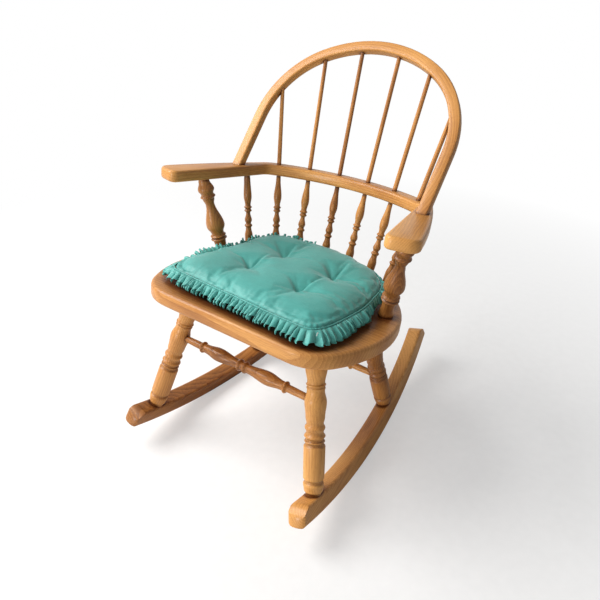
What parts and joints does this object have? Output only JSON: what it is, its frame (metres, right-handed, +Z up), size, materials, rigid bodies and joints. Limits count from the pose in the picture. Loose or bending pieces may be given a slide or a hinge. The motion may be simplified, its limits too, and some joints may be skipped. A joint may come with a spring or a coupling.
{
  "type": "rocking chair",
  "caption": "Spindle back rocking chair in honey varnished wood, with a bent back bow, curved arms, turned legs and a loose teal seat cushion with a pleated frill",
  "frame": {"origin": "on the floor under the middle of the chair's box, with the chair at rest", "axes": "+X to the sitter's left, +Y to the back, +Z up"},
  "size_m": [0.6526, 0.7712, 0.8884],
  "materials": {
    "plank_wood": "glossy amber varnish over sawn boards",
    "turned_wood": "glossy amber varnish over turned wood",
    "bent_wood": "glossy amber varnish over a steam bent stick",
    "cushion_cloth": "plain woven cloth with a slight sheen",
    "frill_cloth": "plain woven cloth, pleated, with a slight sheen"
  },
  "bodies": {
    "chair": {"seat": "plank_wood", "rocker_left": "plank_wood", "rocker_right": "plank_wood", "leg_front_left": "turned_wood", "leg_front_right": "turned_wood", "leg_rear_left": "turned_wood", "leg_rear_right": "turned_wood", "stretcher_front": "turned_wood", "stretcher_rear": "turned_wood", "arm_post_left": "turned_wood", "arm_post_right": "turned_wood", "short_spindle_left": "turned_wood", "short_spindle_right": "turned_wood", "arm_left": "plank_wood", "arm_right": "plank_wood", "back_rail": "plank_wood", "bow": "bent_wood", "long_spindle_1": "turned_wood", "long_spindle_2": "turned_wood", "long_spindle_3": "turned_wood", "long_spindle_4": "turned_wood", "long_spindle_5": "turned_wood", "long_spindle_6": "turned_wood"},
    "cushion": {"cushion": "cushion_cloth", "cushion_frill": "frill_cloth"}
  },
  "joints": [
    {"name": "cushion_lift", "type": "slide", "parent": "chair", "child": "cushion", "axis": [0, 0.165, 0.9863], "range_m": [0, 0.24]}
  ]
}
